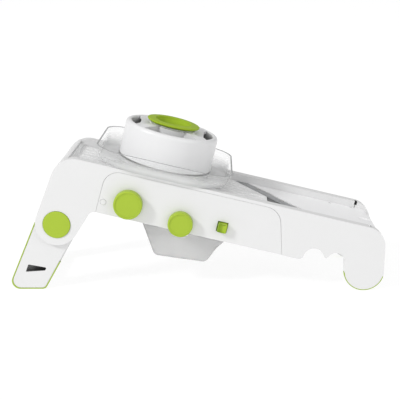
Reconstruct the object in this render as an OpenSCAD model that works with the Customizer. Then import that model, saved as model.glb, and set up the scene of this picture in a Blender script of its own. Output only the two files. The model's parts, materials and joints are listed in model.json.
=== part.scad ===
// Adjustable mandoline slicer: sloping deck on a fold-out leg, hinged ribbed
// ramp, diagonal blade, julienne drum, and a sliding food guard with plunger.
// Millimetres, +Z up. Deck modules are drawn in the deck's own frame: u along
// the deck (downhill), v across, w normal to it, with w = 0 on the wall tops.

/* [Body] */
// Overall width across the two side walls
body_w = 116; // [114:0.5:120]
// Thickness of each hollow side wall
wall_t = 11; // [10.5:0.25:11.5]
// Downhill slope of the deck when the leg is unfolded, degrees
slope = 13.2; // [13:0.1:13.4]
// Depth of the wall band below its top edge
wall_h = 52.6; // [52:0.2:53]
// Depth of the running surface below the wall tops
deck_d = 8; // [7.5:0.25:8.5]

/* [Controls] */
// Diameter of the slice thickness knob
thickness_knob_d = 31; // [28:0.5:33]
// Diameter of the julienne selector knob
julienne_knob_d = 27; // [24:0.5:29]
// Diameter of the round caps over the leg hinge
cap_d = 30; // [26:0.5:32]
// Side of the square release button
button_w = 9.6; // [8:0.2:10]

/* [Guard] */
// Outer diameter of the white grip cup
cup_d = 104; // [102:0.5:105]
// Diameter of the dished palm disc
palm_d = 59; // [54:1:62]
// Length of the clear tray along the deck
tray_l = 149; // [145:1:152]
// Width of the clear tray across the deck
tray_w = 140; // [138:1:142]

/* [Hidden] */
$fn = 64;

white = "#f2f2f0";
green = "#b0c94a";
rubber_green = "#9ab83d";
steel = "#c4c7c9";
clear = [0.90, 0.93, 0.94, 0.35];
smoke = [0.80, 0.81, 0.82, 0.55];
dark = "#4a4b4d";

vo = body_w/2;              // outer face of a wall
vi = vo - wall_t;           // inner face of a wall
skin = vi + 3;              // outside of the wall's inner skin
cov_in = vo - 2.5;          // inside of the cover panels
arm_t = 4;                  // thickness of the arm plates at the leg
x_shift = 1.1;              // drawing offset along X
deck_z = 115;               // height of the wall-top plane at u = 0
stand = 0.5;                // nose-down lean once the leg and the feet touch the table
stand_x = 0.6;              // centres the bounding box on X = 0
stand_z = 21.9*(1 - cos(stand)) + 181.6*sin(stand); // keeps the feet on Z = 0

P = [-139, -76];            // leg hinge
T = [-68.4, -34.5];         // thickness shaft
D = [-9.4, -42.6];          // julienne drum
B = [35.3, -36.6];          // release button
H = [-135.5, -15];          // ramp hinge
G = [-41, 0];               // guard centre, (u, v)
drum_r = 37.5;              // reach of the comb teeth

// ---- points and outlines -------------------------------------------------
function unit(a) = a/norm(a);
// a world (X, Z) point in deck coordinates (u, w)
function wd(x, z) = [x*cos(slope) - (z - deck_z)*sin(slope),
                     x*sin(slope) + (z - deck_z)*cos(slope)];
function r3(p, r) = [p[0], p[1], r];
function arc(c, r, a0, a1, n = 16) =
  [for (i = [0:n]) let (a = a0 + (a1 - a0)*i/n) [c[0] + r*cos(a), c[1] + r*sin(a), 0]];
function corner(p0, p1, p2, r, n) = r <= 0 ? [p1] :
  let (d0 = unit(p0 - p1), d1 = unit(p2 - p1), g = acos(d0*d1),
       c = p1 + unit(d0 + d1)*(r/sin(g/2)), t = r/tan(g/2),
       a = p1 + d0*t - c, b = p1 + d1*t - c,
       aa = atan2(a[1], a[0]), ab = atan2(b[1], b[0]),
       da = ((ab - aa + 540)%360) - 180)
  [for (i = [0:n]) let (q = aa + da*i/n) c + r*[cos(q), sin(q)]];
// outline whose corners [x, y, r] are rounded to r
function rp(p, n = 8) = [for (i = [0:len(p) - 1])
  let (m = len(p), a = p[(i + m - 1)%m], b = p[i], c = p[(i + 1)%m])
  each corner([a[0], a[1]], [b[0], b[1]], [c[0], c[1]], b[2], n)];
function rrect(l, w, r, n = 8, c = [0, 0]) = rp([[c[0] - l/2, c[1] - w/2, r],
  [c[0] + l/2, c[1] - w/2, r], [c[0] + l/2, c[1] + w/2, r], [c[0] - l/2, c[1] + w/2, r]], n);
function meet(p, d, q, e) = p + d*((q - p)[0]*e[1] - (q - p)[1]*e[0])/(d[0]*e[1] - d[1]*e[0]);

// the two bowl notches, the tooth between them and the lobe beside them
function ang(a, b) = atan2(b[1] - a[1], b[0] - a[0]);
na = [140, -48.1];          // wide notch
nb = [164.2, -46.1];        // narrow notch, tangent to the foot
ra1 = 11.3;
rb1 = 9.9;
nd = norm(nb - na);
nx = (pow(ra1 + 2.5, 2) - pow(rb1 + 2.5, 2) + nd*nd)/(2*nd);
tooth = na + nx*unit(nb - na) + sqrt(pow(ra1 + 2.5, 2) - nx*nx)*unit([na[1] - nb[1], nb[0] - na[0]]);
lobe = [na[0] - sqrt(pow(ra1 + 5, 2) - pow(5 - wall_h - na[1], 2)), 5 - wall_h];

// side outline of the walls: shoulder, foot, bowl notches, leg arm
frame_pts = rp(concat([
  [-151.7, 0, 25], [207.6, 0, 22.4],
  r3(wd(201.8, 0.4), 19), r3(wd(159.2, 0.4), 19)],
  arc(nb, rb1, slope, ang(nb, tooth), 14), arc(tooth, 2.5, ang(tooth, nb), ang(tooth, na), 6),
  arc(na, ra1, ang(na, tooth), ang(na, lobe), 16), arc(lobe, 5, ang(lobe, na), -90, 6),
  [[-106, -wall_h, 6]], arc(P, 23.5, 339.5, 171.5, 20)), 10);

Fd = wd(180.5, 21.9);       // centre of the round foot
pad_v = vi + 5.2;           // the foot's rubber covers the outer half of its rim

// side outline of the removable cover panels, shrunk by g
function cover_pts(g) = rp([[-100.9 + g, -wall_h + g, 1.5], [-98.8 + g, -3.4 - g, 17],
  [91.5 - g, -3.4 - g, 19], [105.7 - g, -wall_h + g, 1.5]], 10);

// the rebate they sit in runs out through the underside of the wall
rebate_pts = rp([[-100.95, -wall_h - 1, 0], [-98.8, -3.4, 17], [91.5, -3.4, 19],
  [106, -wall_h - 1, 0]], 10);

// leg side outline in (X, Z) before the stand's lean, shrunk by g; its sole
// lies along the table line seen from that frame
sole_d = [cos(stand), sin(stand)];
function sole_p(g) = [0, x_shift*tan(stand) - (stand_z - g)/cos(stand)];
Pw = [P[0]*cos(slope) + P[1]*sin(slope), deck_z - P[0]*sin(slope) + P[1]*cos(slope)];
la = 23.3;                  // lean of the leg's outer edge
lb = 29.4;                  // lean of the leg's inner edge
leg_r = 23.2;
function leg_l(g) = Pw + (leg_r - g)*[-cos(la), sin(la)];
function leg_rt(g) = Pw + (leg_r - g)*[cos(lb), -sin(lb)];
function leg_pts(g) = rp(concat(
  [for (q = arc(Pw, leg_r - g, -lb, 180 - la, 24)) q],
  [r3(meet(leg_l(g), [sin(la), cos(la)], sole_p(g), sole_d), 9 - g/2),
   r3(meet(leg_rt(g), [sin(lb), cos(lb)], sole_p(g), sole_d), 6 - g/2)]), 8);

// ---- placing -------------------------------------------------------------
module ground() { translate([stand_x, 0, stand_z]) rotate([0, stand, 0]) children(); }
module deck() { ground() translate([x_shift, 0, deck_z]) rotate([0, slope, 0]) children(); }
module level() { ground() translate([x_shift, 0, 0]) children(); }
// outline in (u, w) or (X, Z), drawn from v0 to v1
module slab(pts, v0, v1) {
  translate([0, v1, 0]) rotate([90, 0, 0]) linear_extrude(v1 - v0) polygon(pts);
}
module vcyl(c, r, v0, v1) {
  translate([c[0], v1, c[1]]) rotate([90, 0, 0]) cylinder(r = r, h = v1 - v0);
}
module both() { children(); mirror([0, 1, 0]) children(); }
module box(a, b) { translate(a) cube(b - a); }
// round wire wound on a helix about +Z, as one closed sweep
module coil(r, wire, h, turns, n = 18, m = 8) {
  k = round(turns*n);
  pts = [for (i = [0:k]) let (a = 360*i/n, z = h*i/k) for (j = [0:m - 1])
    let (b = 360*j/m) [(r + wire*cos(b))*cos(a), (r + wire*cos(b))*sin(a), z + wire*sin(b)]];
  fc = concat([[for (j = [0:m - 1]) j]], [[for (j = [0:m - 1]) k*m + m - 1 - j]],
    [for (i = [0:k - 1]) for (j = [0:m - 1]) let (a = i*m + j, b = i*m + (j + 1)%m)
      each [[a, a + m, b], [b, a + m, b + m]]]);
  polyhedron(pts, fc, convexity = 6);
}

// ---- main frame ----------------------------------------------------------
module main_frame() color(white) {
  deck() difference() {
    union() {
      both() slab(frame_pts, vi, vo);
      // end panel that follows the shoulder between the walls
      slab(concat([for (q = arc([-130.04, -25], 24.6, 120, 171.8, 12)) [q[0], q[1]]],
        [[-157.4, -44], [-152.9, -44]],
        [for (q = arc([-130.04, -25], 20.1, 171.8, 125.5, 12)) [q[0], q[1]]]), -vi - 0.5, vi + 0.5);
      // cross ties low between the walls, and under the exit end
      slab(rrect(10, 7, 2, 4, [-108, -46]), -vi - 0.5, vi + 0.5);
      slab(rrect(9, 7, 2, 4, [66, -44]), -vi - 0.5, vi + 0.5);
      slab(rrect(7, 9, 2, 4, [187, -24]), -vi - 0.5, vi + 0.5);
      // ledges that carry the exit plate and the blade carrier
      both() box([153.6, vi - 5, -deck_d - 6.5], [199, vi + 0.5, -deck_d - 3.1]);
      box([46, vi - 3, -deck_d - 8.6], [59, vi + 0.5, -deck_d - 5.65]);
      box([88, -vi - 0.5, -deck_d - 8.6], [148, -vi + 3, -deck_d - 5.65]);
    }
    both() {
      // open pocket behind each cover, and the cover's rebate
      slab(cover_pts(4), skin, cov_in + 0.5);
      slab(rebate_pts, cov_in, vo + 1);
      // room for the leg arms behind the arm plates
      vcyl(P, 25, vi - 1, vo - arm_t);
      box([-175, vi - 1, -120], [-92, vo - arm_t, -wall_h + 0.4]);
      // hinge pin hole and the shallow seat of its cap
      vcyl(P, 5.02, vi - 1, vo + 1);
      vcyl(P, cap_d/2 + 0.3, vo - 1.2, vo + 1);
      // bearings of the two shafts
      vcyl(T, 4.06, vi - 1, skin + 1);
      vcyl(D, 4.06, vi - 1, skin + 1);
      // holes for the cover screws
      for (c = [[-88, -44.4], [-30, -12], [50, -12], [88, -44]])
        vcyl(c, 1.52, skin - 2, cov_in);
      // the foot's rubber strip sits in a recess
      slab(foot_rim(20.9, 27), pad_v - 0.1, vo + 1);
      slab(foot_rim(21.3, 27), vi - 1, pad_v);
      // stop notch in the inner half of the wall top
      box([189.0, vi - 1, -4], [191.8, vi + 5.5, 1]);
      box([189.7, vi - 1, -deck_d - 1], [190.3, vi + 0.5, -3]);
      // holes for the lower shield's screws
      for (c = [[-44.5, -47.6], [38, -47.6]]) vcyl(c, 1.52, vi - 1, vi + 2.6);
      // holes for the ramp hinge pin
      vcyl(H, 2.02, vi - 1, vi + 3);
      // exit plate screw holes in the ledges
      for (u = [160, 186]) translate([u, vi - 3, -deck_d - 7]) cylinder(r = 1.22, h = 6);
      // underside relief inside the foot
      slab(rp([r3(wd(196.5, 8), 13), r3(wd(164.5, 8), 13), [180, -30, 4], [203.5, -30, 6]], 8),
        vi - 1, vi + 7.5);
    }
  }
}

module cover_body() {
  difference() {
    slab(cover_pts(0.25), cov_in, vo);
    vcyl(T, 5.6, cov_in - 1, vo + 1);
    vcyl(D, 5.6, cov_in - 1, vo + 1);
  }
}
// ring bosses on the back of a cover take the screws
module near_side_cover() color(white) deck() mirror([0, 1, 0]) {
  difference() {
    union() {
      cover_body();
      for (c = [[-88, -44.4], [-30, -12], [50, -12], [88, -44]]) vcyl(c, 3.2, skin + 0.1, cov_in);
    }
    for (c = [[-88, -44.4], [-30, -12], [50, -12], [88, -44]]) vcyl(c, 1.52, skin, cov_in + 1);
    translate([B[0] - 5.8, cov_in - 1, B[1] - 5.8]) cube([11.6, 5, 11.6]);
    vcyl([-95.1, -39.3], 3.3, vo - 1.6, vo + 1);
  }
}
module far_side_cover() color(white) deck() {
  difference() {
    union() {
      slab(cover_pts(0.25), cov_in, vo);
      for (c = [[-88, -44.4], [-30, -12], [50, -12], [88, -44]]) vcyl(c, 3.2, skin + 0.1, cov_in);
    }
    for (c = [[-88, -44.4], [-30, -12], [50, -12], [88, -44]]) vcyl(c, 1.52, skin, cov_in + 1);
    vcyl([-95.1, -39.3], 3.3, vo - 1.6, vo + 1);
  }
}
module cover_plugs() color(white) deck() both() vcyl([-95.1, -39.3], 3.1, vo - 1.55, vo + 0.3);
module cover_screws() color(steel) deck() both()
  for (c = [[-88, -44.4], [-30, -12], [50, -12], [88, -44]]) {
    vcyl(c, 1.5, skin - 1.9, cov_in + 0.9);
  }

// ---- exit plate, blade ---------------------------------------------------
ramp_a = [43, 81];          // ramp end: far corner u, cut-back near end u
ra = 0.9;                   // ramp edge run in u per unit v
xa = 0.98;                  // exit edge run in u per unit v
function u_ramp(v) = 43 + ra*(47 - v);
function u_exit(v) = 60.2 + xa*(47 - v);
vp = vi - 0.15;             // half width of the plates between the walls

module exit_plate() color(white) deck() difference() {
  intersection() {
    slab(concat([[40, -deck_d]],
      [for (q = rp([[0, 0, 0], [207.2, -deck_d, 9], [211.6, -24, 0]], 8)) if (q[0] > 150) q],
      [[208.9, -24.4]],
      [for (q = rp([[211, -30, 0], [204.9, -deck_d - 3, 6.2], [150, -deck_d - 3, 0]], 8)) if (q[0] > 198 && q[1] > -20) q],
      [[40, -deck_d - 3]]), -vp, vp);
    translate([0, 0, -60]) linear_extrude(80)
      polygon([[u_exit(vp), vp], [230, vp], [230, -vp], [u_exit(-vp), -vp]]);
  }
  // shallow facet that runs out through the end
  translate([187, 0, -deck_d]) rotate([0, 4.5, 0]) linear_extrude(5)
    polygon([[2, 8.6], [30, 8.6], [30, -34], [10, -19], [0.6, -4.6]]);
  both() for (u = [160, 186]) {
    translate([u, vi - 3, -deck_d - 4]) cylinder(r = 1.22, h = 6);
    translate([u, vi - 3, -deck_d - 1.5]) cylinder(r = 2.3, h = 3);
  }
}
module exit_plate_screws() color(steel) deck() both() for (u = [160, 186]) {
  translate([u, vi - 3, -deck_d - 6.4]) cylinder(r = 1.2, h = 5);
  translate([u, vi - 3, -deck_d - 1.5]) cylinder(r = 2.2, h = 1.3);
}
// plan outline between the ramp end and the exit plate
carrier_pts = [[u_ramp(vp) + 1.6, vp], [u_exit(vp) - 0.3, vp], [u_exit(-vp) - 0.3, -vp],
  [ramp_a[1] + 1.4, -vp], [ramp_a[1] + 1.4, 47 - (ramp_a[1] - 0.2 - 43)/ra]];
function blade_pts(a, b) = [[u_ramp(vp) + a, vp], [u_ramp(vp) + b, vp],
  [u_ramp(-vp) + b, -vp], [u_ramp(-vp) + a, -vp]];
module blade_carrier() color(dark) deck() difference() {
  translate([0, 0, -deck_d - 5.6]) linear_extrude(4.4) polygon(carrier_pts);
  blade_holes(1.52);
  // slot under the cutting edge that lets slices fall
  translate([0, 0, -deck_d - 7]) linear_extrude(10) polygon([
    [u_ramp(36) + 0.9, 36], [u_ramp(36) + 6.5, 36], [u_ramp(-36) + 6.5, -36], [u_ramp(-36) + 0.9, -36]]);
}
module blade_holes(r) for (v = [-30, 0, 30])
  translate([u_ramp(v) + 13, v, -deck_d - 7]) cylinder(r = r, h = 10);
module main_blade() color(steel) deck() difference() {
  translate([0, 0, -deck_d - 1.2]) linear_extrude(0.9) polygon(blade_pts(2.1, 16.9));
  blade_holes(1.52);
  // ground bevel along the cutting edge
  translate([0, 0, -deck_d - 0.85]) linear_extrude(2) polygon(blade_pts(0, 4.0));
}
module blade_rivets() color(steel) deck() for (v = [-30, 0, 30])
  translate([u_ramp(v) + 13, v, 0]) {
    translate([0, 0, -deck_d - 5.6]) cylinder(r = 1.5, h = 5.3);
    translate([0, 0, -deck_d - 0.3]) cylinder(r = 2.4, h = 0.5);
  }

// ---- feet ----------------------------------------------------------------
// rim strip of the foot between radii r0 and r1, as a (u, w) outline
function foot_rim(r0, r1) = concat(
  [for (q = arc(Fd, r1, 184 + slope, 344 + slope, 28)) [q[0], q[1]]],
  [for (q = arc(Fd, r0, 344 + slope, 184 + slope, 28)) [q[0], q[1]]]);
module foot_pads() color(rubber_green) deck() both() slab(foot_rim(20.95, 21.9), pad_v, vo - 0.2);

// ---- leg -----------------------------------------------------------------
lv0 = vo - arm_t - 0.5 - 9; // inner face of a leg arm
lv1 = vo - arm_t - 0.5;     // outer face of a leg arm
lvp = lv0 + 4.5;            // the rubber edging covers the arm's edge from here out
pad_t = 1.3;
module folding_leg() color(white) level() difference() {
  union() {
    both() slab(leg_pts(pad_t), lv0, lv1);
    both() slab(leg_pts(0.4), lv0, lvp);
    slab(rp([[-205.6, -1.65, 3], [-171.4, -1.35, 3], [-164.6, 11.5, 2.5], [-200.4, 11.5, 2.5]], 5),
      -lv0 - 0.5, lv0 + 0.5);
  }
  both() {
    vcyl(Pw, 5.06, lv0 - 1, lv1 + 1);
    slab(rp([[-190, 16.9, 0.8], [-186.6, 25.6, 1.2], [-166.6, 22.0, 1.2], [-168.4, 18.6, 0.8]], 4), lv1 - 7, lv1 + 1);
    // weight-saving pocket on the inner side of each arm
    slab(rp([[-181.5, 34, 4], [-162, 31, 4], [-151.5, 50, 4], [-172, 54, 4]], 5), lv0 - 1, lv1 - 3);
  }
}
module leg_pads() color(rubber_green) level() both() difference() {
  slab(leg_pts(0), lvp, lv1 - 0.2);
  slab(leg_pts(pad_t), lv0 - 1, lv1 + 1);
  // only the outer edge, the sole and the lower inner edge carry rubber
  translate([Pw[0] - 60, 0, Pw[1] + 1.5]) cube([150, 70, 60]);
  slab([[-160, 28.4], [-110, 28.4], [-110, 120], [-152.7, 120], [-152.7, 70]], 0, 70);
}
module leg_pivot_pins() color(steel) deck() both() {
  vcyl(P, 5, lv0 + 0.6, vo - 1.25);
}
module leg_pivot_caps() color(green) deck() both() translate([P[0], vo - 1.2, P[1]])
  rotate([-90, 0, 0]) rotate_extrude() polygon([[0, 0], [cap_d/2, 0], [cap_d/2, 1.6],
    [cap_d/2 - 0.25, 2.15], [cap_d/2 - 0.8, 2.4], [0, 2.4]]);

// ---- lower shield --------------------------------------------------------
shield_o = rp([[-56.5, -44.4, 0], [-28.8, -88.6, 7], [28, -83.4, 7], [35.2, -66, 22], [49.4, -44.4, 0]], 8);
shield_i = rp([[-54.2, -43, 0], [-27.8, -86.5, 5.2], [26.6, -81.6, 5.2], [33.0, -65.6, 22], [47.8, -43, 0]], 8);
module lower_shield() color(smoke) deck() difference() {
  union() {
    difference() {
      slab(shield_o, -vi + 0.4, vi - 0.4);
      slab(shield_i, -vi + 2.4, vi - 2.4);
    }
  }
  both() {
    for (c = [[-44.5, -47.6], [38, -47.6]]) vcyl(c, 1.52, vi - 4, vi + 1);
    // half-round reliefs for the drum shaft
    vcyl(D, 6, vi - 4, vi + 1);
    // notches that clear the two cams
    vcyl(T, 21.5, 33, 41);
  }
}
module shield_screws() color(steel) deck() both() for (c = [[-44.5, -47.6], [38, -47.6]]) {
  vcyl(c, 1.5, vi - 2.4, vi + 2.5);
  vcyl(c, 2.6, vi - 3.6, vi - 2.4);
}

// ---- ramp and thickness mechanism ---------------------------------------
hinge_r = 4.2;
ramp_t = 3;
slots = [for (i = [-5:5]) 7*i];
module ramp() color(white) deck() difference() {
  union() {
    translate([0, 0, -deck_d - 0.5 - ramp_t]) linear_extrude(ramp_t) polygon([[-136.8, -vp + 0.3],
      [ramp_a[1] - 0.2, -vp + 0.3], [ramp_a[1] - 0.2, 47 - (ramp_a[1] - 0.2 - 43)/ra],
      [u_ramp(vp - 0.3), vp - 0.3], [-136.8, vp - 0.3]]);
    // ribs along the running surface, either side of the julienne slots
    for (i = [-3:3]) let (v = 12.4*i, e = min(ramp_a[1] - 3, u_ramp(v) - 3)) {
      box([-134, v - 1.3, -deck_d - 0.6], [D[0] - 31, v + 1.3, 0.3 - deck_d]);
      box([D[0] + 31, v - 1.3, -deck_d - 0.6], [e, v + 1.3, 0.3 - deck_d]);
    }
    // hinge barrels
    both() { vcyl(H, hinge_r, vi - 18, vi - 1.2);
      box([H[0] - 3, vi - 18, H[1]], [H[0] + 4.2, vi - 1.2, -deck_d - 3]); }
    // edge stiffeners and the two cam pads
    both() box([-128, vi - 3.2, -deck_d - 6], [36, vi - 1.2, -deck_d - 3]);
    both() box([T[0] - 8, 33, -13.5], [T[0] + 8, 41, -deck_d - 3]);
  }
  both() vcyl(H, 2.06, vi - 19, vi);
  for (v = slots) box([D[0] - 28.5, v - 1.5, -deck_d - 8], [D[0] + 28.5, v + 1.5, 2]);
}
module ramp_hinge_pin() color(steel) deck() vcyl(H, 2, -vi - 2.8, vi + 2.8);

// spiral cam: 2.7 mm of fall over 270 degrees
cam_r = -13.9 - T[1];
module cam() {
  pts = [for (i = [0:54]) let (f = i*5) (cam_r - 2.7*f/270)*[cos(90 + f), sin(90 + f)]];
  difference() {
    slab([for (q = pts) q + T], 34, 40);
    vcyl(T, 4.0, 33, 41);
  }
}
module lift_cams() color(white) deck() { cam(); translate([0, -74, 0]) cam(); }
module thickness_shaft() color(steel) deck() vcyl(T, 4, -vo - 6.5, skin + 1.5);
module julienne_shaft_at() vcyl(D, 4, -vo - 6, skin + 1.5);
module drum_shaft() color(steel) deck() julienne_shaft_at();
// round knob with a chamfered face, seated on a thin skirt
module knob(c, d, h) difference() {
  translate([c[0], -vo - 0.4, c[1]]) rotate([90, 0, 0]) rotate_extrude($fn = 96) polygon([
    [0, 0], [d/2 - 0.6, 0], [d/2, 0.6], [d/2, h - 1.2], [d/2 - 0.35, h - 0.45], [d/2 - 1.2, h], [0, h]]);
  vcyl(c, 4.02, -vo - h + 2.7, -vo + 1);
}
module thickness_knob() color(green) deck() knob(T, thickness_knob_d, 9.4);
module julienne_knob() color(green) deck() knob(D, julienne_knob_d, 8.8);

// ---- julienne drum -------------------------------------------------------
module blade_drum() color(white) deck() difference() {
  union() {
    vcyl(D, 12, -41, 41);
    for (a = [210, 330]) translate([D[0], 0, D[1]]) rotate([0, -a, 0])
      box([8, -41, -4.5], [19, 41, 4.5]);
  }
  vcyl(D, 4.02, -42, 42);
  for (a = [210, 330]) translate([D[0], 0, D[1]]) rotate([0, -a, 0])
    box([14.5, -42, -1.55], [22, 42, 1.55]);
}
// toothed steel strip pointing along angle a
module comb(a, vs) translate([D[0], 0, D[1]]) rotate([0, -a, 0]) {
  box([14.6, -40, -1.5], [22, 40, 1.5]);
  for (v = vs) translate([0, v + 0.45, 0]) rotate([90, 0, 0]) linear_extrude(0.9)
    polygon([[21, -3.6], [drum_r - 6, -3.6], [drum_r, 0.5], [drum_r - 1, 3.2], [21, 3.6]]);
}
module fine_comb() color(steel) deck() comb(210, slots);
module coarse_comb() color(steel) deck() comb(330, [-35, -21, -7, 7, 21, 35]);

// ---- release button ------------------------------------------------------
module release_button() color(green) deck() {
  h = button_w/2;
  translate([B[0], 0, B[1]]) {
    box([-h, -vo - 6.6, -h], [h, -cov_in + 1, h]);
    box([-7.6, -cov_in + 0.3, -7.6], [7.6, -cov_in + 1.5, 7.6]);
  }
}
module button_spring() color(steel) deck() translate([B[0], -skin - 0.45, B[1]])
  rotate([90, 0, 0]) coil(3.6, 0.35, cov_in - skin - 2.3, 3);

// ---- food guard ----------------------------------------------------------
gw = 19.4;                  // height of the tray's rim
function tray_hi(g) = rrect(tray_l - 2*g, tray_w - 2*g, 27 - g, 12, G);
function tray_lo(g) = rrect(tray_l - 5 - 2*g, 126 - 2*g, 50 - g, 12, G);
module loft(lo, z0, hi, z1) hull() {
  translate([0, 0, z0]) linear_extrude(0.05) polygon(lo);
  translate([0, 0, z1]) linear_extrude(0.05) polygon(hi);
}
module guard_tray() color(clear) deck() difference() {
  union() {
    difference() {
      loft(tray_lo(0), 0.4, tray_hi(0), gw);
      loft(tray_lo(1.7), 2.4, tray_hi(1.6), gw + 0.1);
    }
    // raised seat for the cup
    translate([G[0], 0, 2.3]) cylinder(r = cup_d/2 + 1, h = 3.7);
    // runners inside the walls
    both() box([G[0] - 62, vi - 3.2, -5.8], [G[0] + 62, vi - 0.5, 0.6]);
  }
  translate([G[0], 0, -8]) cylinder(r = 43.6, h = 30);
  for (a = [45:90:315]) translate([G[0] + 49.2*cos(a), 49.2*sin(a), 0]) {
    translate([0, 0, -1]) cylinder(r = 1.52, h = 9);
    translate([0, 0, -1]) cylinder(r = 2.9, h = 3.2);
  }
}
sleeve_r = 22.2;
module guard_cup() color(white) deck() translate([G[0], 0, 0]) difference() {
  union() {
    rotate_extrude($fn = 128) polygon(rp([[cup_d/2 - 5, 6, 0.4], [cup_d/2, 6, 0.8],
      [cup_d/2, 46, 4.2], [cup_d/2 - 6, 46, 1.6], [cup_d/2 - 5, 30, 0]], 6));
    rotate_extrude($fn = 96) polygon(rp([[sleeve_r, 30, 0], [25.6, 30, 0.8], [25.6, 47.2, 0.8], [sleeve_r, 47.2, 0]], 4));
    // gusset arms that rise towards the sleeve
    for (a = [45:90:315]) rotate([0, 0, a]) translate([0, 5, 0]) rotate([90, 0, 0])
      linear_extrude(10) polygon([[25, 34], [47.6, 34], [47.6, 45.2], [43.5, 46], [25, 48.2]]);
    // webs that join the arms at both ends, leaving a slit along the ring
    for (a = [0, 180]) rotate([0, 0, a]) translate([0, 0, 42.6]) linear_extrude(3)
      difference() {
        polygon(concat([[16, 19], [16, -19], [33, -33]],
          [for (q = rp([[39.5, -26.5, 0], [35.4, -15, 9], [35.4, 15, 9], [39.5, 26.5, 0]], 5)) q], [[33, 33]]));
        circle(r = 24);
      }
    for (a = [45:90:315]) rotate([0, 0, a]) translate([46.6, 0, 6]) cylinder(r = 4, h = 12);
  }
  for (a = [45:90:315]) rotate([0, 0, a]) translate([49.2, 0, 5]) cylinder(r = 1.22, h = 11);
}
module cup_screws() color(steel) deck() translate([G[0], 0, 0]) for (a = [45:90:315])
  rotate([0, 0, a]) translate([49.2, 0, 0]) {
    translate([0, 0, 2.2]) cylinder(r = 1.2, h = 12);
    translate([0, 0, 0.7]) cylinder(r = 2.7, h = 1.5);
  }
module pusher_hub() color(white) deck() translate([G[0], 0, 0]) rotate_extrude($fn = 96)
  polygon([[0, 42.4], [17.5, 42.4], [17.5, 8], [22.14, 8], [22.14, 48.8], [20.6, 48.8], [20.6, 44.9], [0, 44.9]]);
module palm_disc() color(green) deck() translate([G[0], 0, 48.8]) rotate_extrude($fn = 128)
  polygon(concat([[0, -3.8], [16, -3.8], [20.4, -1.8], [20.4, 0], [palm_d/2 - 4, 0], [palm_d/2 - 0.8, 1.5],
    [palm_d/2, 2.6], [palm_d/2 - 0.5, 3.5], [palm_d/2 - 2, 3.9], [21.2, 4.3], [20.4, 4.1]],
    [for (i = [0:9]) let (a = i*10) [11.5 + 8.3*cos(a), 3.5 - 4.9*sin(a)]], [[0, -1.4]]));
module food_plate() color(white) deck() translate([G[0], 0, 0]) difference() {
  union() {
    translate([0, 0, 4]) cylinder(r = 41, h = 3.9);
    translate([0, 0, 7.8]) cylinder(r = 17.3, h = 4);
  }
  for (p = pin_at) translate([p[0], p[1], 3]) cylinder(r = 1.22, h = 6);
}
pin_at = concat([for (a = [0:45:315]) 30*[cos(a), sin(a)]], [for (a = [0:90:270]) 12*[cos(a), sin(a)]]);
module food_pins() color(steel) deck() translate([G[0], 0, 0]) for (p = pin_at)
  translate([p[0], p[1], -3.4]) rotate_extrude($fn = 24) polygon([[0, 0], [0.25, 0], [1.2, 3.2], [1.2, 10.6], [0, 10.6]]);
module plunger_spring() color(steel) deck() translate([G[0], 0, 8.9])
  coil(29.2, 0.7, 24.1, 4, 24);

main_frame();
near_side_cover();
far_side_cover();
exit_plate();
foot_pads();
leg_pivot_pins();
leg_pivot_caps();
blade_carrier();
main_blade();
blade_rivets();
lower_shield();
shield_screws();
cover_plugs();
cover_screws();
exit_plate_screws();
ramp_hinge_pin();
folding_leg();
leg_pads();
ramp();
thickness_knob();
thickness_shaft();
lift_cams();
julienne_knob();
drum_shaft();
blade_drum();
fine_comb();
coarse_comb();
release_button();
button_spring();
guard_tray();
guard_cup();
cup_screws();
pusher_hub();
palm_disc();
food_plate();
food_pins();
plunger_spring();
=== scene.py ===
import json
import math

import bmesh
import bpy
from mathutils import Matrix, Vector


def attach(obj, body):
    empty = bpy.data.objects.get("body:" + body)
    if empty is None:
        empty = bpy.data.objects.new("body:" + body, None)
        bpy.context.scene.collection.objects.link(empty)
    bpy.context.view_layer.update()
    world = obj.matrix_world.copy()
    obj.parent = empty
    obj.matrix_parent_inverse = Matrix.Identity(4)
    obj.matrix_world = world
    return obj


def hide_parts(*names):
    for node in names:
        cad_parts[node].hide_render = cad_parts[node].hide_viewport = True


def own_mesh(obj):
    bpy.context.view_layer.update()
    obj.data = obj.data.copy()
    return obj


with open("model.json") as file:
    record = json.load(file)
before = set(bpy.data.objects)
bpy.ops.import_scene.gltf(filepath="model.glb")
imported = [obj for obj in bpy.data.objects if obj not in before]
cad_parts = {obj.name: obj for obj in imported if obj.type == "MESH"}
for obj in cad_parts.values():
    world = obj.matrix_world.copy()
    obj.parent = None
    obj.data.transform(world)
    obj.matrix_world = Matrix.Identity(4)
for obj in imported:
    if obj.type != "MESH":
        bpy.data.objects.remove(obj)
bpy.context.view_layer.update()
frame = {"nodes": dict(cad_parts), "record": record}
nodes = frame["nodes"]
body_of = {n: b for b, ns in frame["record"]["behaviour"]["bodies"].items() for n in ns}
slot_of = {s["node"]: s["material_slot"] for s in frame["record"]["subparts"]}
scene = bpy.context.scene

# ---- frame of the sloping deck: u downhill, v across, w normal, in mm ------
STAND = math.radians(0.5)
STAND_X, STAND_Z = 0.6, 21.9 * (1 - math.cos(STAND)) + 181.6 * math.sin(STAND)
GROUND = Matrix.Translation((STAND_X / 1000, 0, STAND_Z / 1000)) @ Matrix.Rotation(STAND, 4, "Y")
DECK = (GROUND @ Matrix.Translation((0.0011, 0, 0.115)) @ Matrix.Rotation(math.radians(13.2), 4, "Y"))
UNDECK = DECK.inverted()
UNGROUND = GROUND.inverted()
NORMAL = (DECK.to_3x3() @ Vector((0, 0, 1))).normalized()
ALONG = (DECK.to_3x3() @ Vector((1, 0, 0))).normalized()


def deck(u, v, w):
    return DECK @ Vector((u / 1000, v / 1000, w / 1000))


def undeck(p):
    return tuple(c * 1000 for c in UNDECK @ p)


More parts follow.
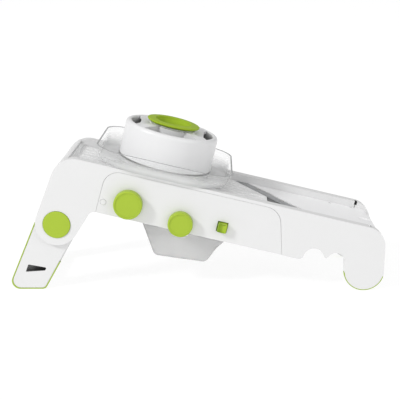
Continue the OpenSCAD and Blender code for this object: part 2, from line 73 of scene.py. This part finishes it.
# ---- camera ---------------------------------------------------------------
PITCH, YAW, FOCAL_PX = math.radians(15.422), math.radians(1.206), 870.0
fwd = Vector((-math.sin(YAW) * math.cos(PITCH), math.cos(YAW) * math.cos(PITCH), -math.sin(PITCH)))
right = Vector((math.cos(YAW), math.sin(YAW), 0))
up = right.cross(fwd)
cam_data = bpy.data.cameras.new("camera")
cam_data.sensor_width = 36.0
cam_data.lens = FOCAL_PX / 400 * 36.0
cam_data.clip_start, cam_data.clip_end = 0.05, 200
cam = bpy.data.objects.new("camera", cam_data)
rot = Matrix((right, up, -fwd)).transposed()
cam.matrix_world = GROUND @ Matrix.Translation((0.0221, -0.95205, 0.34801)) @ rot.to_4x4()
scene.collection.objects.link(cam)
scene.camera = cam


# ---- material helpers -----------------------------------------------------
def new_material(name):
    m = bpy.data.materials.new(name)
    m.use_nodes = True
    nt = m.node_tree
    nt.nodes.clear()
    out = nt.nodes.new("ShaderNodeOutputMaterial")
    bsdf = nt.nodes.new("ShaderNodeBsdfPrincipled")
    nt.links.new(bsdf.outputs["BSDF"], out.inputs["Surface"])
    return m, nt, bsdf


def noise(nt, scale, detail=4.0, rough=0.55, distort=0.0, stretch=None):
    tc = nt.nodes.new("ShaderNodeTexCoord")
    n = nt.nodes.new("ShaderNodeTexNoise")
    n.inputs["Scale"].default_value = scale
    n.inputs["Detail"].default_value = detail
    n.inputs["Roughness"].default_value = rough
    n.inputs["Distortion"].default_value = distort
    if stretch:
        mp = nt.nodes.new("ShaderNodeMapping")
        mp.inputs["Scale"].default_value = stretch
        if len(stretch) > 3:
            mp.inputs["Scale"].default_value = stretch[:3]
        nt.links.new(tc.outputs["Object"], mp.inputs["Vector"])
        nt.links.new(mp.outputs["Vector"], n.inputs["Vector"])
        n["map"] = mp.name
    else:
        nt.links.new(tc.outputs["Object"], n.inputs["Vector"])
    return n


def ramp(nt, src, stops):
    r = nt.nodes.new("ShaderNodeValToRGB")
    el = r.color_ramp.elements
    while len(el) < len(stops):
        el.new(0.5)
    for e, (p, c) in zip(el, stops):
        e.position = p
        e.color = (*c, 1) if len(c) == 3 else c
    nt.links.new(src, r.inputs["Fac"])
    return r


def mapped(nt, src, lo, hi, a=0.0, b=1.0):
    mr = nt.nodes.new("ShaderNodeMapRange")
    mr.inputs["From Min"].default_value = a
    mr.inputs["From Max"].default_value = b
    mr.inputs["To Min"].default_value = lo
    mr.inputs["To Max"].default_value = hi
    nt.links.new(src, mr.inputs["Value"])
    return mr.outputs["Result"]


def bumps(nt, bsdf, layers):
    last = None
    for src, strength, distance in layers:
        b = nt.nodes.new("ShaderNodeBump")
        b.inputs["Strength"].default_value = strength
        b.inputs["Distance"].default_value = distance
        nt.links.new(src, b.inputs["Height"])
        if last:
            nt.links.new(last, b.inputs["Normal"])
        last = b.outputs["Normal"]
    nt.links.new(last, bsdf.inputs["Normal"])


def shade(c, k):
    return tuple(min(1.0, x * k) for x in c)


def plastic(name, color, rough=0.35, spec=0.5, vary=0.02, grain=0.05, peel=0.04, wear=1.0):
    """Moulded plastic: faint flow mottling, orange peel and a fine spark-eroded grain."""
    m, nt, b = new_material(name)
    flow = noise(nt, 28, 5, 0.6, 0.6)
    r = ramp(nt, flow.outputs["Fac"], [(0.25, shade(color, 1 - vary)), (0.75, shade(color, 1 + vary * 0.6))])
    nt.links.new(r.outputs["Color"], b.inputs["Base Color"])
    rub = noise(nt, 140, 6, 0.7)
    nt.links.new(mapped(nt, rub.outputs["Fac"], rough - 0.05 * wear, rough + 0.07 * wear, 0.3, 0.7),
                 b.inputs["Roughness"])
    b.inputs["Specular IOR Level"].default_value = spec
    b.inputs["IOR"].default_value = 1.5
    fine = noise(nt, 2600, 2, 0.5)
    wide = noise(nt, 260, 3, 0.5)
    bumps(nt, b, [(fine.outputs["Fac"], grain, 0.00006), (wide.outputs["Fac"], peel, 0.0003)])
    return m


def steel(name, color, rough, stretch, scale=900, aniso=0.5, deep=1.0):
    """Ground stainless steel with directional scratches."""
    m, nt, b = new_material(name)
    lines = noise(nt, scale, 6, 0.65, 0.0, stretch)
    r = ramp(nt, lines.outputs["Fac"], [(0.3, shade(color, 1 - 0.14 * deep)), (0.7, shade(color, 1 + 0.08 * deep))])
    nt.links.new(r.outputs["Color"], b.inputs["Base Color"])
    b.inputs["Metallic"].default_value = 1.0
    b.inputs["Anisotropic"].default_value = aniso
    nt.links.new(mapped(nt, lines.outputs["Fac"], rough - 0.08 * deep, rough + 0.1 * deep, 0.3, 0.7),
                 b.inputs["Roughness"])
    bumps(nt, b, [(lines.outputs["Fac"], 0.12 * deep, 0.00008)])
    return m


WHITE = (0.722, 0.722, 0.722)
GREEN = (0.360, 0.495, 0.036)
M = {}
M["white"] = plastic("white_abs", WHITE, 0.32, 0.45, 0.012, 0.05, 0.03)
M["white_cup"] = plastic("white_cup_abs", (0.73, 0.73, 0.735), 0.30, 0.42, 0.006, 0.02, 0.01, 0.35)
# painted light: a paler copy of the white plastic for the exit deck, which lifts its shade
M["white_inner"] = plastic("white_inner_abs", (0.88, 0.88, 0.885), 0.42, 0.4, 0.02, 0.10, 0.05)
# painted light: a paler white for the stem and a faint glow that lifts the shade under the palm disc
M["white_stem"] = plastic("white_stem_abs", (0.76, 0.76, 0.77), 0.45, 0.30, 0.015, 0.06, 0.03)
M["white_stem"].node_tree.nodes["Principled BSDF"].inputs["Emission Color"].default_value = (1, 1, 1, 1)
M["white_stem"].node_tree.nodes["Principled BSDF"].inputs["Emission Strength"].default_value = 0.11
# painted light: a paler copy of the white plastic for the ramp, which lifts the shade the guard casts on it
M["white_ramp"] = plastic("white_ramp_abs", (0.83, 0.83, 0.83), 0.42, 0.4, 0.02, 0.10, 0.05)
M["green"] = plastic("lime_abs", GREEN, 0.42, 0.28, 0.035, 0.06, 0.03)
M["rubber"] = plastic("lime_soft_rubber", (0.35, 0.47, 0.060), 0.62, 0.3, 0.05, 0.25, 0.08)
M["dark"] = plastic("carrier_dark_grey", (0.15, 0.15, 0.152), 0.45, 0.4, 0.10, 0.12, 0.05)
M["blade"] = steel("ground_blade_steel", (0.50, 0.51, 0.52), 0.30, (3, 0.15, 3), 500, 0.6, 0.35)
M["screw"] = steel("turned_screw_steel", (0.56, 0.56, 0.55), 0.3, (1, 1, 1), 1200, 0.2)
M["spring"] = steel("drawn_spring_wire", (0.45, 0.45, 0.46), 0.28, (1, 1, 3), 1500, 0.2)


def clear_material(name, color, rough, ior, weight, mottled=0.0, coat=0.0, edge=None, low=0.6, high=0.3):
    """Translucent moulding; edge = (deck height in mm, width, colour) paints shade on it towards its rim,
    low and high are how dense the body is towards its floor and towards its rim."""
    m, nt, b = new_material(name)
    flow = noise(nt, 60, 4, 0.55, 0.8)
    r = ramp(nt, flow.outputs["Fac"], [(0.3, shade(color, 1 - mottled)), (0.7, color)])
    # painted shade: a grey band along the rim, made denser there
    if edge:
        tc = nt.nodes.new("ShaderNodeTexCoord")
        up_axis = nt.nodes.new("ShaderNodeVectorMath")
        up_axis.operation = "DOT_PRODUCT"
        up_axis.inputs[1].default_value = tuple(NORMAL)
        nt.links.new(tc.outputs["Object"], up_axis.inputs[0])
        h0 = deck(0, 0, edge[0]).dot(NORMAL)
        fac = mapped(nt, up_axis.outputs["Value"], 0, 1, h0 - edge[1] / 1000, h0)
        mix = nt.nodes.new("ShaderNodeMix")
        mix.data_type = "RGBA"
        nt.links.new(fac, mix.inputs["Factor"])
        nt.links.new(r.outputs["Color"], mix.inputs[6])
        tone = ramp(nt, flow.outputs["Fac"], [(0.3, shade(edge[2], 0.94)), (0.7, edge[2])])
        nt.links.new(tone.outputs["Color"], mix.inputs[7])
        nt.links.new(mix.outputs[2], b.inputs["Base Color"])
        body = mapped(nt, up_axis.outputs["Value"], low, high, h0 - 0.014, h0 - 0.005)
        alpha = nt.nodes.new("ShaderNodeMath")
        alpha.operation = "MAXIMUM"
        nt.links.new(body, alpha.inputs[0])
        nt.links.new(fac, alpha.inputs[1])
        nt.links.new(alpha.outputs[0], b.inputs["Alpha"])
    else:
        nt.links.new(r.outputs["Color"], b.inputs["Base Color"])
    b.inputs["Transmission Weight"].default_value = weight
    b.inputs["IOR"].default_value = ior
    if coat:
        b.inputs["Coat Weight"].default_value = coat
        b.inputs["Coat Roughness"].default_value = 0.03
        b.inputs["Coat IOR"].default_value = 1.45
    hair = noise(nt, 420, 5, 0.7, 0.2, (1, 0.25, 1))
    nt.links.new(mapped(nt, hair.outputs["Fac"], rough, rough + 0.03, 0.35, 0.75), b.inputs["Roughness"])
    wide = noise(nt, 120, 2, 0.5)
    bumps(nt, b, [(wide.outputs["Fac"], 0.02, 0.0004)])
    return m


# painted shade: the grey colour in edge tints the tray's rim
M["clear"] = clear_material("clear_polished_plastic", (0.93, 0.935, 0.935), 0.05, 1.2, 0.35, 0.008, 0.5,
                            (19.2, 0.5, (0.36, 0.37, 0.37)), 0.65, 0.11)
M["smoke"] = clear_material("smoke_translucent_plastic", (0.912, 0.911, 0.910), 0.22, 1.25, 0.68, 0.03)


def box_mask(nt, centre, half, angle, band=None):
    """1 inside a box that is turned by angle about Y; band = least |y| as a fraction of the half width."""
    tc = nt.nodes.new("ShaderNodeTexCoord")
    mp = nt.nodes.new("ShaderNodeMapping")
    mp.vector_type = "TEXTURE"
    mp.inputs["Location"].default_value = tuple(centre)
    mp.inputs["Rotation"].default_value = (0, math.radians(angle), 0)
    mp.inputs["Scale"].default_value = half
    nt.links.new(tc.outputs["Object"], mp.inputs["Vector"])
    sep = nt.nodes.new("ShaderNodeSeparateXYZ")
    nt.links.new(mp.outputs["Vector"], sep.inputs["Vector"])
    inside = None
    for axis in "XYZ":
        ab = nt.nodes.new("ShaderNodeMath")
        ab.operation = "ABSOLUTE"
        nt.links.new(sep.outputs[axis], ab.inputs[0])
        out = mapped(nt, ab.outputs[0], 0, 1, 1.0, 0.996 if axis == "Y" else 0.98)
        if axis == "Y" and band:
            gt = nt.nodes.new("ShaderNodeMath")
            gt.operation = "GREATER_THAN"
            gt.inputs[1].default_value = band
            nt.links.new(ab.outputs[0], gt.inputs[0])
            out = times(nt, out, gt.outputs[0])
        inside = times(nt, inside, out) if inside is not None else out
    return inside, sep


def times(nt, a, b):
    mul = nt.nodes.new("ShaderNodeMath")
    mul.operation = "MULTIPLY"
    nt.links.new(a, mul.inputs[0])
    nt.links.new(b, mul.inputs[1])
    return mul.outputs[0]


def tinted(nt, bsdf, fac, color):
    """Mixes color over the base colour by fac; color is a socket or a tuple."""
    mix = nt.nodes.new("ShaderNodeMix")
    mix.data_type = "RGBA"
    nt.links.new(fac, mix.inputs["Factor"])
    nt.links.new(bsdf.inputs["Base Color"].links[0].from_socket, mix.inputs[6])
    if isinstance(color, tuple):
        mix.inputs[7].default_value = (*color, 1)
    else:
        nt.links.new(color, mix.inputs[7])
    nt.links.new(mix.outputs[2], bsdf.inputs["Base Color"])


def derived(source, name):
    m = M[source].copy()
    m.name = name
    return m, m.node_tree, next(n for n in m.node_tree.nodes if n.type == "BSDF_PRINCIPLED")


def leg_material():
    """The leg's white plastic, with painted shade darkening the inside of its two catch slots."""
    m, nt, b = derived("white", "white_leg_abs")
    loc = GROUND @ Vector((-0.1769, 0, 0.0211))
    inside, sep = box_mask(nt, (loc.x, 0, loc.z), (0.0122, 0.0532, 0.0064), 8.0, 0.865)
    # painted shade: grey at one end of each slot, nearly black at the other
    depth = ramp(nt, mapped(nt, sep.outputs["X"], 0, 1, -1, 1),
                 [(0.0, (0.30, 0.30, 0.30)), (0.45, (0.05, 0.05, 0.05)), (1.0, (0.012, 0.012, 0.012))])
    tinted(nt, b, inside, depth.outputs["Color"])
    return m


def wall_material():
    """The walls' white plastic, with painted shade in the stop notch, a dark grey seam below it and a painted glow
    on the inner face of the end panel.
    """
    m, nt, b = derived("white", "white_wall_abs")
    # painted shade: the stop notch is tinted nearly black
    notch, _ = box_mask(nt, deck(190.4, 0, -1.6), (0.00155, 0.0527, 0.0026), 13.7)
    tinted(nt, b, notch, (0.03, 0.03, 0.03))
    # the seam below the notch is tinted dark grey
    seam, _ = box_mask(nt, deck(190.0, 0, -6.0), (0.0005, 0.0476, 0.0030), 13.7)
    tinted(nt, b, seam, (0.22, 0.22, 0.22))
    # inner face of the end panel: painted light, a paler tint and a faint glow that lift its shade
    tc = nt.nodes.new("ShaderNodeTexCoord")
    mp = nt.nodes.new("ShaderNodeMapping")
    mp.vector_type = "TEXTURE"
    mp.inputs["Location"].default_value = tuple(deck(-130.04, 0, -25))
    mp.inputs["Rotation"].default_value = (0, math.radians(13.7), 0)
    mp.inputs["Scale"].default_value = (0.0212, 1, 0.0212)
    nt.links.new(tc.outputs["Object"], mp.inputs["Vector"])
    flat = nt.nodes.new("ShaderNodeVectorMath")
    flat.operation = "MULTIPLY"
    flat.inputs[1].default_value = (1, 0, 1)
    nt.links.new(mp.outputs["Vector"], flat.inputs[0])
    far = nt.nodes.new("ShaderNodeVectorMath")
    far.operation = "LENGTH"
    nt.links.new(flat.outputs["Vector"], far.inputs[0])
    sep = nt.nodes.new("ShaderNodeSeparateXYZ")
    nt.links.new(mp.outputs["Vector"], sep.inputs["Vector"])
    ab = nt.nodes.new("ShaderNodeMath")
    ab.operation = "ABSOLUTE"
    nt.links.new(sep.outputs["Y"], ab.inputs[0])
    panel = times(nt, mapped(nt, far.outputs["Value"], 0, 1, 1.0, 0.99),
                  mapped(nt, ab.outputs[0], 0, 1, 0.0473, 0.0468))
    panel = times(nt, panel, mapped(nt, sep.outputs["X"], 0, 1, -0.2, -0.5))
    tinted(nt, b, panel, (0.90, 0.90, 0.90))
    glow = ramp(nt, panel, [(0.0, (0, 0, 0)), (1.0, (1, 1, 1))])
    nt.links.new(glow.outputs["Color"], b.inputs["Emission Color"])
    b.inputs["Emission Color"].default_value = (0, 0, 0, 1)
    b.inputs["Emission Strength"].default_value = 0.17
    return m


def cup_material():
    """The cup's white plastic, with painted shade along its foot where it meets the tray and inside the bore of the
    ring.
    """
    m, nt, b = derived("white_cup", "white_grip_abs")
    tc = nt.nodes.new("ShaderNodeTexCoord")
    h = nt.nodes.new("ShaderNodeVectorMath")
    h.operation = "DOT_PRODUCT"
    h.inputs[1].default_value = tuple(NORMAL)
    nt.links.new(tc.outputs["Object"], h.inputs[0])
    foot = deck(0, 0, 6).dot(NORMAL)
    # painted shade: a dark band along the foot, where the cup meets the tray
    tinted(nt, b, mapped(nt, h.outputs["Value"], 1, 0, foot + 0.0016, foot + 0.0026), (0.07, 0.07, 0.07))
    # painted shade: the bore of the ring is darkened below its rim
    mp = nt.nodes.new("ShaderNodeMapping")
    mp.vector_type = "TEXTURE"
    mp.inputs["Location"].default_value = tuple(deck(-41, 0, 0))
    mp.inputs["Rotation"].default_value = (0, math.radians(13.7), 0)
    nt.links.new(tc.outputs["Object"], mp.inputs["Vector"])
    flat = nt.nodes.new("ShaderNodeVectorMath")
    flat.operation = "MULTIPLY"
    flat.inputs[1].default_value = (1, 1, 0)
    nt.links.new(mp.outputs["Vector"], flat.inputs[0])
    far = nt.nodes.new("ShaderNodeVectorMath")
    far.operation = "LENGTH"
    nt.links.new(flat.outputs["Vector"], far.inputs[0])
    bore = times(nt, mapped(nt, far.outputs["Value"], 0, 1, 0.0480, 0.0474),
                 mapped(nt, far.outputs["Value"], 0, 1, 0.0452, 0.0456))
    bore = times(nt, bore, mapped(nt, h.outputs["Value"], 1, 0, foot + 0.033, foot + 0.037))
    tinted(nt, b, bore, (0.42, 0.42, 0.42))
    return m


def button_material():
    """The button's green, with painted shade on the uphill side of its scoop."""
    m, nt, b = derived("green", "lime_button_abs")
    tc = nt.nodes.new("ShaderNodeTexCoord")
    side = nt.nodes.new("ShaderNodeVectorMath")
    side.operation = "DOT_PRODUCT"
    side.inputs[1].default_value = tuple(ALONG)
    nt.links.new(tc.outputs["Object"], side.inputs[0])
    u0 = deck(35.3, 0, 0).dot(ALONG)
    # painted shade: darker green on the uphill side of the scoop
    tinted(nt, b, mapped(nt, side.outputs["Value"], 0.85, 0.0, u0 - 0.0030, u0 + 0.0002), (0.22, 0.35, 0.016))
    return m


M["white_leg"] = leg_material()
M["white_wall"] = wall_material()
M["green_button"] = button_material()
M["white_grip"] = cup_material()

def dish_material():
    """The palm disc's green, with painted shade down inside its dish, heaviest on its uphill side."""
    m = M["green"].copy()
    m.name = "lime_dish_abs"
    nt = m.node_tree
    b = next(n for n in nt.nodes if n.type == "BSDF_PRINCIPLED")
    base = b.inputs["Base Color"].links[0].from_socket
    tc = nt.nodes.new("ShaderNodeTexCoord")
    h = nt.nodes.new("ShaderNodeVectorMath")
    h.operation = "DOT_PRODUCT"
    h.inputs[1].default_value = tuple(NORMAL)
    nt.links.new(tc.outputs["Object"], h.inputs[0])
    h0 = deck(0, 0, DISC_TOP).dot(NORMAL)
    centre = deck(-41, 0, DISC_TOP)
    off = nt.nodes.new("ShaderNodeVectorMath")
    off.operation = "DISTANCE"
    off.inputs[1].default_value = tuple(centre)
    nt.links.new(tc.outputs["Object"], off.inputs[0])
    # painted shade: darker down inside the dish, heavier on its uphill side
    deep = mapped(nt, h.outputs["Value"], 0, 1, h0 - 0.0006, h0 - 0.0045)
    near = mapped(nt, off.outputs["Value"], 0, 1, 0.0212, 0.0200)
    fac = nt.nodes.new("ShaderNodeMath")
    fac.operation = "MULTIPLY"
    nt.links.new(deep, fac.inputs[0])
    nt.links.new(near, fac.inputs[1])
    side = nt.nodes.new("ShaderNodeVectorMath")
    side.operation = "DOT_PRODUCT"
    side.inputs[1].default_value = tuple(ALONG)
    nt.links.new(tc.outputs["Object"], side.inputs[0])
    u0 = centre.dot(ALONG)
    shade_side = mapped(nt, side.outputs["Value"], 1.0, 0.22, u0 - 0.017, u0 + 0.002)
    fac2 = times(nt, fac.outputs[0], shade_side)
    tone = ramp(nt, fac2, [(0.0, (0.88, 0.90, 0.80)), (0.22, (0.82, 0.86, 0.70)), (1.0, (0.52, 0.59, 0.38))])
    mix = nt.nodes.new("ShaderNodeMix")
    mix.data_type = "RGBA"
    mix.blend_type = "MULTIPLY"
    mix.inputs["Factor"].default_value = 1.0
    nt.links.new(base, mix.inputs[6])
    nt.links.new(tone.outputs["Color"], mix.inputs[7])
    nt.links.new(mix.outputs[2], b.inputs["Base Color"])
    b.inputs["Specular IOR Level"].default_value = 0.06
    return m


DISC_TOP = 51.7
M["green_dish"] = dish_material()

SLOT_MATERIAL = {
    "white_plastic": "white", "green_plastic": "green", "green_rubber": "rubber",
    "clear_plastic": "clear", "smoke_plastic": "smoke", "grey_plastic": "dark",
    "blade_steel": "blade", "spring_steel": "spring", "screw_steel": "screw",
}


# ---- piece helpers --------------------------------------------------------
def add_piece(name, bm, node, material, smooth=50, weighted=True):
    me = bpy.data.meshes.new(name)
    bm.to_mesh(me)
    bm.free()
    ob = bpy.data.objects.new(name, me)
    scene.collection.objects.link(ob)
    me.materials.clear()
    me.materials.append(M[material])
    for p in me.polygons:
        p.use_smooth = True
        p.material_index = 0
    me.set_sharp_from_angle(angle=math.radians(smooth))
    if weighted:
        wn = ob.modifiers.new("weighted", "WEIGHTED_NORMAL")
        wn.keep_sharp = True
        wn.weight = 80
    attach(ob, body_of[node])
    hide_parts(node)
    return ob


def cad_bmesh(node, flat=0.4):
    bm = bmesh.new()
    bm.from_mesh(nodes[node].data)
    bmesh.ops.remove_doubles(bm, verts=bm.verts, dist=3e-6)
    bmesh.ops.dissolve_degenerate(bm, dist=2e-6, edges=bm.edges)
    bmesh.ops.dissolve_limit(bm, angle_limit=math.radians(flat), use_dissolve_boundaries=False,
                             verts=bm.verts, edges=bm.edges, delimit=set())
    bm.normal_update()
    return bm


def soften(bm, width, angle=30, segments=2, want=None, concave=False, clamp=True):
    """Rounds the edges that want() picks, by width in mm."""
    pick = []
    for e in bm.edges:
        if len(e.link_faces) != 2:
            continue
        if e.calc_face_angle(0) < math.radians(angle) or (not concave and not e.is_convex):
            continue
        if e.calc_length() < 2e-5:
            continue
        if want and not want(e):
            continue
        pick.append(e)
    if pick:
        bmesh.ops.bevel(bm, geom=pick, offset=width / 1000, offset_type="OFFSET", segments=segments,
                        profile=0.5, affect="EDGES", clamp_overlap=clamp, loop_slide=True,
                        miter_outer="SHARP", miter_inner="SHARP")
    bm.normal_update()
    return bm


def refine(node, name, width=0.3, segments=2, material=None, angle=30, smooth=50, rim=None, rim_width=1.0):
    """A finished copy of a CAD node: rim edges get the wider radius, the rest the small one."""
    bm = cad_bmesh(node)
    if rim:
        soften(bm, rim_width, 40, 4, rim)
    if width:
        soften(bm, width, angle, segments)
    return add_piece(name, bm, node, material or SLOT_MATERIAL[slot_of[node]], smooth)


# ---- pieces ---------------------------------------------------------------
def dv(e):
    return [undeck(v.co) for v in e.verts]


# side walls: generous radius on the outer silhouette, small one elsewhere
def wall_rim(e):
    (u0, v0, w0), (u1, v1, w1) = dv(e)
    if abs(abs(v0) - 58) > 0.05 or abs(abs(v1) - 58) > 0.05:
        return False
    um, wm = (u0 + u1) / 2, (w0 + w1) / 2
    if -102 < um < 107 and -51.5 < wm < -2:
        return False
    return math.hypot(um + 139, wm + 76) > 17


def leg_rim(e):
    return all(abs(abs(v.co.y) - 0.0535) < 5e-5 for v in e.verts) and not all(
        (v.co - GROUND @ Vector((-0.1769, v.co.y, 0.0211))).length < 0.016 for v in e.verts)


refine("main_frame", "side_walls", 0.35, 2, material="white_wall", rim=wall_rim, rim_width=1.1)
refine("near_side_cover", "cover_near", 0.3)
refine("far_side_cover", "cover_far", 0.3)
refine("exit_plate", "exit_deck", 0.3, material="white_inner")
refine("foot_pads", "foot_strips", 0.15)
refine("leg_pivot_pins", "leg_pins", 0.15)
refine("leg_pivot_caps", "leg_caps", 0.15)
refine("blade_carrier", "blade_holder", 0.2)
refine("main_blade", "slicing_blade", 0)
refine("blade_rivets", "blade_rivet_heads", 0.15)
refine("lower_shield", "drum_shield", 0.3)
refine("shield_screws", "shield_screw_set", 0.1)
refine("cover_plugs", "cover_plug_pair", 0.15)
refine("cover_screws", "cover_screw_set", 0.1)
refine("exit_plate_screws", "exit_screw_set", 0.1)
refine("ramp_hinge_pin", "ramp_pin", 0.15)
refine("folding_leg", "leg_frame", 0.35, material="white_leg", rim=leg_rim, rim_width=0.9)
refine("leg_pads", "leg_strips", 0.15)
refine("ramp", "ribbed_ramp", 0.2, material="white_ramp")


def knob_piece(node, name):
    """A knob whose face is sunk a little inside its rim."""
    bm = cad_bmesh(node)
    front = min(v.co.y for v in bm.verts)
    face = [f for f in bm.faces if f.normal.y < -0.99 and f.calc_center_median().y < front + 1e-5]
    if face:
        bmesh.ops.inset_region(bm, faces=face, thickness=0.0006, depth=0, use_even_offset=True)
        bmesh.ops.inset_region(bm, faces=face, thickness=0.0005, depth=-0.0008, use_even_offset=True)
    soften(bm, 0.12, 30, 2)
    return add_piece(name, bm, node, "green")


knob_piece("thickness_knob", "knob_thickness")
refine("thickness_shaft", "shaft_thickness", 0.15)
refine("lift_cams", "ramp_cams", 0.2)
knob_piece("julienne_knob", "knob_julienne")
refine("drum_shaft", "shaft_drum", 0.15)
refine("blade_drum", "drum_core", 0.25)
refine("fine_comb", "comb_fine", 0.06)
refine("coarse_comb", "comb_coarse", 0.06)

# square button whose face is scooped for a fingertip
bm = cad_bmesh("release_button")
soften(bm, 0.5, 30, 3)
for i in range(-6, 7):
    bmesh.ops.bisect_plane(bm, geom=bm.verts[:] + bm.edges[:] + bm.faces[:], dist=1e-7,
                           plane_co=deck(35.3 + 0.68 * i, 0, 0), plane_no=ALONG)
for vert in bm.verts:
    u, v, w = undeck(vert.co)
    t = (u - 35.3) / 4.15
    if v < -64.5 and abs(t) < 1:
        vert.co.y += 0.0026 * (1 - t * t)
bm.normal_update()
add_piece("button_square", bm, "release_button", "green_button", 35)
spring = refine("button_spring", "spring_button", 0)
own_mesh(spring)
refine("guard_tray", "clear_tray", 0.25)
refine("guard_cup", "grip_cup", 0.35, material="white_grip")
refine("cup_screws", "cup_screw_set", 0.1)
refine("pusher_hub", "plunger_stem", 0.3, material="white_stem")
refine("palm_disc", "dished_palm_disc", 0.2, material="green_dish")
refine("food_plate", "pressing_plate", 0.25)
refine("food_pins", "gripping_pins", 0)
spring = refine("plunger_spring", "spring_plunger", 0)
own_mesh(spring)

# ---- stage ----------------------------------------------------------------
fl = bmesh.new()
bmesh.ops.create_grid(fl, x_segments=2, y_segments=2, size=40)
me = bpy.data.meshes.new("floor")
fl.to_mesh(me)
fl.free()
floor = bpy.data.objects.new("floor", me)
scene.collection.objects.link(floor)
fm, nt, b = new_material("pale_floor")
fn = noise(nt, 6, 3)
fr = ramp(nt, fn.outputs["Fac"], [(0.3, (0.17, 0.17, 0.17)), (0.7, (0.18, 0.18, 0.18))])
nt.links.new(fr.outputs["Color"], b.inputs["Base Color"])
b.inputs["Roughness"].default_value = 0.9
b.inputs["Specular IOR Level"].default_value = 0.1
b.inputs["Emission Color"].default_value = (1, 1, 1, 1)
b.inputs["Emission Strength"].default_value = 0.86
me.materials.append(fm)

# soft studio surround: brightest from the front left, dimmer overhead and to the right
world = bpy.data.worlds.new("studio")
scene.world = world
world.use_nodes = True
wt = world.node_tree
bg = wt.nodes["Background"]
bg.inputs["Color"].default_value = (1, 1, 1, 1)
wtc = wt.nodes.new("ShaderNodeTexCoord")
dot = wt.nodes.new("ShaderNodeVectorMath")
dot.operation = "DOT_PRODUCT"
dot.inputs[1].default_value = (-0.16, -0.50, 0.85)
wt.links.new(wtc.outputs["Generated"], dot.inputs[0])
wmr = wt.nodes.new("ShaderNodeMapRange")
wmr.inputs["From Min"].default_value = -1.0
wmr.inputs["From Max"].default_value = 1.0
wmr.inputs["To Min"].default_value = 0.34
wmr.inputs["To Max"].default_value = 0.78
wt.links.new(dot.outputs["Value"], wmr.inputs["Value"])
wt.links.new(wmr.outputs["Result"], bg.inputs["Strength"])


def area(name, loc, target, size, power, color=(1, 1, 1)):
    d = bpy.data.lights.new(name, "AREA")
    d.shape = "DISK"
    d.size = size
    d.energy = power
    d.color = color
    o = bpy.data.objects.new(name, d)
    o.location = loc
    o.rotation_mode = "QUATERNION"
    o.rotation_quaternion = (Vector(target) - Vector(loc)).to_track_quat("-Z", "Y")
    scene.collection.objects.link(o)
    return o


area("key", (-3.3, -2.2, 3.0), (0, 0, 0.08), 0.8, 106)
area("fill", (3.4, -2.4, 1.9), (0, 0, 0.08), 2.2, 26)
area("front", (-0.9, -4.6, 1.3), (0, 0, 0.08), 1.6, 10)

scene.view_settings.view_transform = "Standard"
scene.view_settings.look = "None"
scene.view_settings.exposure = 0.0
scene.view_settings.gamma = 1.0
